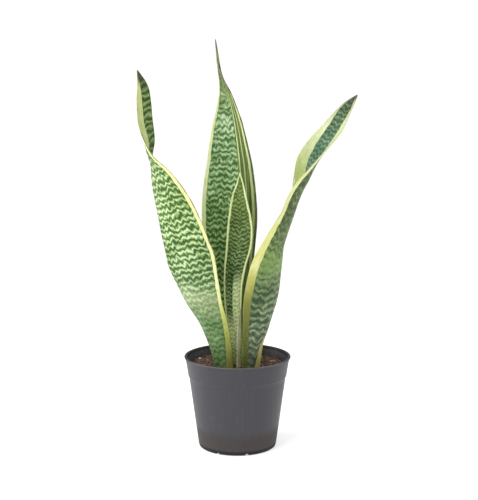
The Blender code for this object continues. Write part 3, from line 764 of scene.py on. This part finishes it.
# Painted shade: all this leaf's colours are set darker than the other leaves', for its shadow
# side.
right_outer = leaf_skin(
    "right_outer",
    pale={102: (142, 154, 132), 130: (152, 168, 136), 165: (154, 174, 138), 205: (130, 152, 106),
          232: (144, 170, 96), 270: (136, 160, 98), 310: (126, 146, 86), 400: (150, 176, 132)},
    middle={102: (104, 114, 92), 150: (98, 114, 84), 205: (104, 128, 82), 232: (118, 146, 78),
            265: (86, 110, 56), 310: (78, 98, 46), 400: (112, 140, 94)},
    dark={102: (72, 82, 64), 165: (56, 72, 50), 205: (58, 80, 44), 240: (66, 94, 38),
          300: (56, 74, 32), 400: (70, 96, 60)},
    weight={102: 0.55, 150: 0.5, 180: 0.6, 215: 0.5, 232: 0.34, 250: 0.5, 300: 0.62, 400: 0.5},
    contrast={102: 0.8, 165: 1.1, 215: 0.8, 232: 0.5, 250: 0.85, 400: 0.9},
    # The margin's yellow darkens to dark olive towards the foot: partly its own colour, partly
    # painted shade among the leaves' feet.
    margin={102: (78, 84, 44), 150: (94, 98, 46), 185: (120, 122, 56), 208: (172, 170, 84),
            238: (222, 222, 134), 330: (232, 234, 170), 400: (214, 220, 170)},
    first={102: 0.6, 150: 0.75, 200: 0.95, 240: 1.15, 275: 0.8, 310: 0.55, 400: 0.3},
    second={102: 1.35, 130: 1.05, 154: 0.1, 300: 0.1, 400: 0.3},
    period=0.9, zig=1.4, zig_rise=0.38, first_rim=(196, 192, 128), second_rim=(88, 92, 52),
    rim_strength=0.5, low_second=(206, 194, 116), tip=424.0, tip_colour=(64, 54, 60), seed=3.7,
)
right_inner = leaf_skin(
    "right_inner",
    pale={102: (128, 142, 108), 310: (140, 170, 130), 370: (148, 178, 142), 410: (124, 146, 112)},
    middle={102: (96, 110, 76), 310: (96, 126, 82), 370: (92, 128, 98), 410: (80, 104, 70)},
    dark={102: (70, 86, 56), 310: (66, 96, 66), 370: (62, 96, 76), 410: (50, 66, 44)},
    weight={102: 0.5, 330: 0.56, 390: 0.5, 415: 0.6},
    contrast={102: 0.8, 415: 0.85},
    margin={102: (206, 208, 120), 300: (142, 158, 76), 340: (166, 180, 106), 365: (196, 204, 150),
            392: (214, 222, 172), 416: (176, 182, 130)},
    first={102: 0.4, 320: 0.6, 345: 0.85, 365: 1.05, 392: 0.85, 412: 0.3},
    second={102: 0.4, 310: 1.6, 338: 1.9, 363: 1.4, 392: 0.7, 412: 0.2},
    period=0.62, zig=0.9, zig_rise=0.2, first_rim=(196, 200, 140), second_rim=(104, 108, 52),
    rim_strength=0.85, tip=424.0, tip_colour=(64, 54, 60), seed=4.9,
)
right_leaf = blade("leaf_right_blade", RIGHT_STATIONS, 4.2, 0.4, 52.0, right_outer, right_inner)
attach(right_leaf, "root")
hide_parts("leaf_right")

# ---- Tall leaf -------------------------------------------------------------
# The tallest blade stands upright behind the others, its channel open to the front, and ends in a
# dry rolled spike.  Yellow lines run down one half of it between strips of dark green.
TALL_STATIONS = (
    (FOOT, -4, -4, 26, 176, 62),
    (8, -6, -3, 34, 175, 52),
    (48, -10, -1, 46, 172, 44),
    (78, -12, 2, 57, 170, 38),
    (125, -11, 4, 63, 168, 32),
    (170, -10, 8, 70, 166, 27),
    (200, -10, 10, 69, 165, 27),
    (225, -10, 11, 64, 165, 27),
    (245, -10, 12, 57, 165, 28),
    (267, -11, 12, 49, 165, 30),
    (290, -12, 12, 39, 165, 34),
    (309, -13, 12, 27, 165, 40),
    (327, -15, 12, 16, 165, 50),
    (342, -19, 12, 7, 165, 60),
    (355, -22, 11, 4.4, 165, 60),
    (371, -24, 10, 3.4, 165, 50),
    (391, -26, 9, 1, 165, 20),
)
tall_colours = dict(
    # Painted light: the pale and middle tones from 120 to 180 mm are set lighter, partly the
    # blade's own paleness and partly light that lifts the shade among the other leaves there.
    pale={120: (180, 202, 128), 180: (216, 236, 164), 230: (186, 214, 152), 330: (186, 214, 162),
          400: (206, 228, 188), 440: (178, 200, 148), 456: (166, 174, 138)},
    middle={120: (130, 156, 84), 180: (158, 186, 108), 230: (116, 150, 82), 330: (122, 156, 94),
            400: (148, 178, 122), 440: (120, 144, 88), 456: (132, 142, 108)},
    dark={120: (50, 72, 28), 180: (66, 92, 36), 230: (56, 92, 36), 330: (60, 100, 50),
          400: (76, 114, 72), 440: (80, 96, 50), 456: (92, 98, 74)},
    weight={120: 0.56, 200: 0.54, 300: 0.54, 400: 0.48, 440: 0.5},
    contrast={120: 0.9, 260: 1.15, 400: 1.05, 440: 0.4},
    margin={120: (176, 186, 110), 200: (216, 226, 152), 330: (226, 236, 174), 425: (224, 234, 160),
            450: (176, 184, 132)},
    first={120: 0.03, 440: 0.03},
    second={120: 0.5, 260: 0.58, 330: 0.5, 400: 0.3, 430: 0.16, 450: 0.05},
    period=0.74, zig=0.85, zig_rise=0.3, streak=0.25, mottle=1.75, dull_first=372.0,
    first_rim=(40, 44, 18), second_rim=(236, 240, 214), rim_strength=0.95, rim_width=0.17,
    tip=486.0, tip_colour=(78, 66, 76),
)
tall_outer = leaf_skin("tall_outer", seed=6.2, **tall_colours)
tall_inner = leaf_skin("tall_inner", seed=5.4, stripes=((0.05, 0.1), (0.19, 0.208), (0.282, 0.31)),
                       stripe_zone=0.33, **tall_colours)
tall_leaf = blade("leaf_tall_blade", TALL_STATIONS, 4.0, 0.5, 60.0, tall_outer, tall_inner)
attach(tall_leaf, "root")
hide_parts("leaf_tall")

# ---- Small leaf ------------------------------------------------------------
# The youngest full leaf, folded nearly shut at its foot and opening to a pointed blade in front of
# the tall one.  Its bands are fine and dense, its margins thin, and its foot pale where it wraps,
# partly its own colour and partly painted light that lifts the shade in the fold.
SMALL_STATIONS = (
    (FOOT, 0, -12, 12, 184, 72),
    (1, 0, -13, 13, 186, 72),
    (28, -2, -15, 15, 190, 72),
    (53, -4, -17, 18, 196, 70),
    (75, -5, -18, 21, 198, 66),
    (98, -5, -18, 23, 196, 60),
    (112, -4, -18, 25, 193, 54),
    (128, -2, -18, 27, 188, 46),
    (150, 2, -17, 31, 181, 34),
    (173, 3, -16, 30, 180, 28),
    (202, 2, -15, 20, 180, 26),
    (220, 3, -15, 10, 180, 24),
    (235, 3, -15, 1, 180, 20),
)
small_margin = {120: 0.26, 300: 0.26, 330: 0.16}
small_inner = leaf_skin(
    "small_inner",
    pale={120: (150, 172, 116), 180: (156, 180, 128), 260: (154, 178, 126), 310: (154, 176, 108)},
    middle={120: (104, 128, 74), 220: (100, 126, 70), 310: (114, 136, 68)},
    dark={120: (56, 78, 36), 200: (44, 68, 28), 310: (64, 88, 32)},
    weight={120: 0.5, 260: 0.56, 320: 0.5},
    contrast={120: 1.0, 220: 1.15, 320: 0.8},
    margin={120: (190, 204, 120), 200: (238, 248, 182), 320: (230, 244, 168)},
    first=small_margin,
    second=small_margin,
    period=0.5, zig=0.66, zig_rise=0.2, vee=0.3, mottle=1.3, wrap=222.0, rim_strength=0.15,
    seed=8.3,
)
small_outer = leaf_skin(
    "small_outer",
    pale={102: (160, 182, 128), 160: (180, 200, 146), 230: (168, 190, 128)},
    middle={102: (116, 140, 86), 160: (136, 160, 102), 230: (120, 146, 82)},
    dark={102: (76, 98, 54), 160: (92, 118, 64), 230: (70, 94, 42)},
    weight={102: 0.5, 160: 0.42, 230: 0.5},
    contrast={102: 0.8, 230: 1.0},
    margin={102: (170, 176, 110), 200: (204, 220, 152), 320: (206, 222, 150)},
    first={102: 0.2, 300: 0.2, 330: 0.12},
    second={102: 0.2, 300: 0.2, 330: 0.12},
    period=0.5, zig=0.9, zig_rise=0.1, vee=0.6, rim_strength=0.2, seed=9.6,
)
small_leaf = blade("leaf_small_blade", SMALL_STATIONS, 3.0, 0.3, 30.0, small_outer, small_inner)
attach(small_leaf, "root")
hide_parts("leaf_small")

# ---- Sheath leaf -----------------------------------------------------------
# A short, thin first leaf that clasps the foot of the right leaf.  It has almost no green left:
# pale straw with faint lines along it and a papery brown rim.
SHEATH_STATIONS = (
    (FOOT, 1, -20, 6, 60, 20),
    (1, 1, -21, 7, 60, 20),
    (29, 1, -22, 6.5, 60, 20),
    (56, 2, -22, 5, 60, 18),
    (72, 4, -22, 1, 60, 15),
)
papery = leaf_skin(
    "papery",
    pale={102: (206, 210, 168), 150: (232, 234, 204), 175: (216, 212, 170)},
    middle={102: (184, 190, 142), 150: (212, 216, 178), 175: (196, 194, 148)},
    dark={102: (140, 150, 100), 175: (168, 172, 122)},
    weight={102: 0.2, 175: 0.2},
    contrast={102: 0.2, 175: 0.2},
    margin={102: (214, 216, 174), 175: (214, 212, 170)},
    first={102: 0.1, 175: 0.1},
    second={102: 0.1, 175: 0.1},
    streak=0.5, rim_strength=0.35, tip=178.0, seed=10.4,
)
sheath = blade("leaf_sheath_blade", SHEATH_STATIONS, 1.8, 0.1, 30.0, papery, papery)
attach(sheath, "root")
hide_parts("leaf_sheath")

# ---- Bark chips ------------------------------------------------------------
# Splinters of composted pine bark that lie half sunk in the mix: layered, split along the grain
# and worn round at their corners, each a little different.
CHIPS = 12
LUMP_CUTS = 4
PUFFED = 0.94                # a lump starts as a cube of this share of its box


def bark_finish(name, *tones):
    """Split bark in layers, in four tones from its cracks to its fresh faces."""
    material, place, shader = new_finish(name)
    layers = place.node("Mapping", None, {"Vector": place, "Scale": (1.0, 1.0, 5.0)})
    grain = layers.noise(330.0, 4.0, 0.65)
    tone = place.noise(210.0, 1.0, 0.5)
    fleck = place.noise(1500.0, 2.0, 0.6)
    stops = [(at, shade(*colour)) for at, colour in zip((0.34, 0.47, 0.58, 0.7), tones)]
    wood = grain.node("ValToRGB", {"stops": stops}, {"Fac": grain * 0.4 + tone * 0.6})
    wood = wood.mixed(shade(58, 42, 32), fleck.rise(0.6, 0.72) * 0.6)
    coat(shader, wood, 0.78 + 0.2 * grain, 0.7 * grain + 0.3 * fleck, 0.7 * MM)
    return material


bark = bark_finish("bark_crumb", (48, 36, 30), (104, 78, 62), (164, 130, 104), (212, 184, 156))
fresh_bark = bark_finish("bark_chip", (110, 78, 60), (168, 128, 102), (206, 168, 138),
                         (230, 204, 178))


def lump(name, low, high, rough, seed):
    """A rounded lump that fills a box: a cube, cut up, puffed out and worn rough."""
    size = [b - a for a, b in zip(low, high)]
    middle = [0.5 * (a + b) for a, b in zip(low, high)]
    bpy.ops.object.select_all(action="DESELECT")
    bpy.ops.mesh.primitive_cube_add(size=PUFFED, location=middle, scale=size)
    piece = bpy.context.object
    piece.name = piece.data.name = name
    bpy.ops.object.transform_apply(location=True, rotation=True, scale=True)
    bpy.ops.object.mode_set(mode="EDIT")
    bpy.ops.mesh.subdivide(number_cuts=LUMP_CUTS, fractal=rough, seed=seed)
    bpy.ops.mesh.vertices_smooth(factor=0.5, repeat=1)
    bpy.ops.object.mode_set(mode="OBJECT")
    apply_modifier(piece, "SUBSURF", levels=1, render_levels=1)
    only(piece)
    bpy.ops.object.shade_smooth()
    return piece


for number in range(1, CHIPS + 1):
    node = f"bark_chip_{number}"
    low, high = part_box(node)
    chip = lump(f"{node}_split", low, high, 1.4, number)
    chip.data.materials.append(fresh_bark)
    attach(chip, "root")
    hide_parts(node)

# ---- Perlite ---------------------------------------------------------------
# Grains of volcanic glass, puffed up by heat into white, pitted lumps, mixed in to keep the soil
# open.  A few have worked up to the surface.
GRAINS = 3

glass_foam, place, shader = new_finish("perlite_foam")
pits = place.node("TexVoronoi", None, {"Vector": place, "Scale": 1500.0})
stain = place.noise(500.0, 3.0, 0.6)
white = stain.rise(0.4, 0.75).between(shade(236, 232, 222), shade(186, 172, 152))
coat(shader, white, 0.7 + 0.25 * stain, pits, 0.4 * MM)
for number in range(1, GRAINS + 1):
    node = f"perlite_{number}"
    low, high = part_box(node)
    grain_piece = lump(f"{node}_puffed", low, high, 1.0, 40 + number)
    grain_piece.data.materials.append(glass_foam)
    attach(grain_piece, "root")
    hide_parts(node)

# ---- Crumbs and fibres -----------------------------------------------------
# The loose top of the mix: hundreds of crumbs of bark, peat and perlite, one to five millimetres
# across, and a few fine root fibres, lying on the surface where they fell.
CRUMBS = 360
PERLITE_CRUMBS = 16
FIBRES = 26
FIBRE_STEP = 1.1 * MM
rng = random.Random(11)


def on_the_mix(x, y):
    """Height of the mix's surface at a place."""
    found, where, _, _ = mix.ray_cast(Vector((x, y, POT_H + 0.05)), Vector((0.0, 0.0, -1.0)))
    return where.z if found else edge_z


def scattered():
    """A place on the mix, more often out in the open ring than under the leaves."""
    far = (mix_r - 2.4 * MM) * math.sqrt(rng.uniform(0.12, 1.0))
    heading = rng.uniform(0.0, 2.0 * math.pi)
    return far * math.cos(heading), far * math.sin(heading)


def crumb_pile(name, count, small, large, material):
    """Flattened, knocked-about balls of small to large radius, strewn on the mix as one piece."""
    bpy.ops.object.select_all(action="DESELECT")
    bpy.ops.mesh.primitive_ico_sphere_add(subdivisions=1, radius=small)
    pile = bpy.context.object
    pile.name = pile.data.name = name
    bpy.ops.object.mode_set(mode="EDIT")
    bpy.ops.mesh.delete(type="VERT")
    for _ in range(count):
        x, y = scattered()
        size = small + (large - small) * rng.random() ** 2
        z = on_the_mix(x, y) + 0.15 * size
        bpy.ops.mesh.select_all(action="DESELECT")
        bpy.ops.mesh.primitive_ico_sphere_add(
            subdivisions=1, radius=size, location=(x, y, z),
            rotation=(rng.uniform(0, 3), rng.uniform(0, 3), rng.uniform(0, 3)),
            scale=(1.0, rng.uniform(0.45, 0.9), rng.uniform(0.35, 0.7)))
        bpy.ops.transform.vertex_random(offset=0.18 * size, seed=rng.randrange(1000))
    bpy.ops.object.mode_set(mode="OBJECT")
    pile.data.materials.append(material)
    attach(pile, "root")


crumb_pile("bark_crumbs", CRUMBS, 0.6 * MM, 2.7 * MM, bark)
crumb_pile("mix_crumbs", CRUMBS, 0.6 * MM, 2.3 * MM, humus)
crumb_pile("perlite_crumbs", PERLITE_CRUMBS, 0.4 * MM, 0.9 * MM, glass_foam)

fibre_skin, place, shader = new_finish("root_fibre")
strand = place.noise(700.0, 3.0, 0.6)
fibre = strand.between(shade(104, 76, 54), shade(188, 152, 112))
coat(shader, fibre, 0.7 + 0.25 * strand, strand, 0.2 * MM)
strands = []
for number in range(FIBRES):
    x, y = scattered()
    heading, curl = rng.uniform(0.0, 6.28), rng.uniform(-0.35, 0.35)
    bpy.ops.object.select_all(action="DESELECT")
    curve = bpy.data.curves.new(f"fibre_{number}", "CURVE")
    curve.dimensions = "3D"
    curve.bevel_depth = rng.uniform(0.12, 0.24) * MM
    curve.bevel_resolution = 1
    curve.use_fill_caps = True
    spline = curve.splines.new("POLY")
    steps = rng.randrange(7, 13)
    spline.points.add(steps - 1)
    for point in spline.points:
        if math.hypot(x, y) > mix_r - 2.0 * MM:
            heading += 2.2
        point.co = (x, y, on_the_mix(x, y) + rng.uniform(0.25, 0.7) * MM, 1.0)
        x, y = x + FIBRE_STEP * math.cos(heading), y + FIBRE_STEP * math.sin(heading)
        heading += curl
    strand_piece = bpy.data.objects.new(curve.name, curve)
    bpy.context.scene.collection.objects.link(strand_piece)
    strands.append(strand_piece)
bpy.ops.object.select_all(action="DESELECT")
for strand_piece in strands:
    strand_piece.select_set(True)
bpy.context.view_layer.objects.active = strands[0]
bpy.ops.object.convert(target="MESH")
bpy.ops.object.join()
fibres = bpy.context.object
fibres.name = fibres.data.name = "root_fibres"
fibres.data.materials.clear()
fibres.data.materials.append(fibre_skin)
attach(fibres, "root")

# ---- Floor, light and camera -----------------------------------------------
# A plain white table, an even white surround, one broad soft light at the upper left and two
# strips at the sides that draw the pot's edges.
FLOOR_GLOW = 0.5
SURROUND, SEEN_SURROUND = 0.58, 0.5   # strength on the object, and what the eye sees on top of it
EYE = (0.0019, -1.300, 0.431)
EYE_DOWN = 8.26                       # degrees below the level
LENS = 78.34

bpy.ops.object.select_all(action="DESELECT")
bpy.ops.mesh.primitive_plane_add(size=12.0, location=(0.0, 0.0, -0.0004))
floor = bpy.context.object
floor.name = "floor"
WHITE = (1.0, 1.0, 1.0, 1.0)
table_top, _, _ = new_finish("table_top", Roughness=0.9, Base_Color=(0.93, 0.93, 0.93, 1.0),
                             Specular_IOR_Level=0.0, Emission_Color=WHITE,
                             Emission_Strength=FLOOR_GLOW)
floor.data.materials.append(table_top)

world = bpy.data.worlds.new("surround")
bpy.context.scene.world = world
world.use_nodes = True
sky = world.node_tree.nodes["Background"]
sky.inputs["Color"].default_value = WHITE
seen = Paint(world.node_tree).node("LightPath")
(SURROUND + SEEN_SURROUND * seen).feeds(sky.inputs["Strength"])


def soft_light(name, where, aim, size, power):
    """A rectangular light that faces a point."""
    lamp = bpy.data.lights.new(name, "AREA")
    lamp.shape = "RECTANGLE"
    lamp.size, lamp.size_y = size
    lamp.energy = power
    holder = bpy.data.objects.new(name, lamp)
    bpy.context.scene.collection.objects.link(holder)
    holder.location = where
    holder.rotation_euler = (Vector(aim) - Vector(where)).to_track_quat("-Z", "Y").to_euler()


soft_light("key", (-0.9, -1.1, 1.5), (0.0, 0.0, 0.25), (1.1, 1.1), 16.5)
soft_light("left_strip", (-0.9, 0.15, 0.35), (0.0, 0.0, 0.1), (0.25, 0.9), 2.5)
soft_light("right_strip", (0.9, 0.15, 0.35), (0.0, 0.0, 0.1), (0.25, 0.9), 0.9)

camera_data = bpy.data.cameras.new("camera")
camera_data.sensor_width = 36.0
camera_data.lens = LENS
camera_data.clip_start = 0.01
camera = bpy.data.objects.new("camera", camera_data)
bpy.context.scene.collection.objects.link(camera)
camera.location = EYE
camera.rotation_euler = (math.radians(90.0 - EYE_DOWN), 0.0, 0.0)
bpy.context.scene.camera = camera
bpy.context.scene.view_settings.view_transform = "Standard"
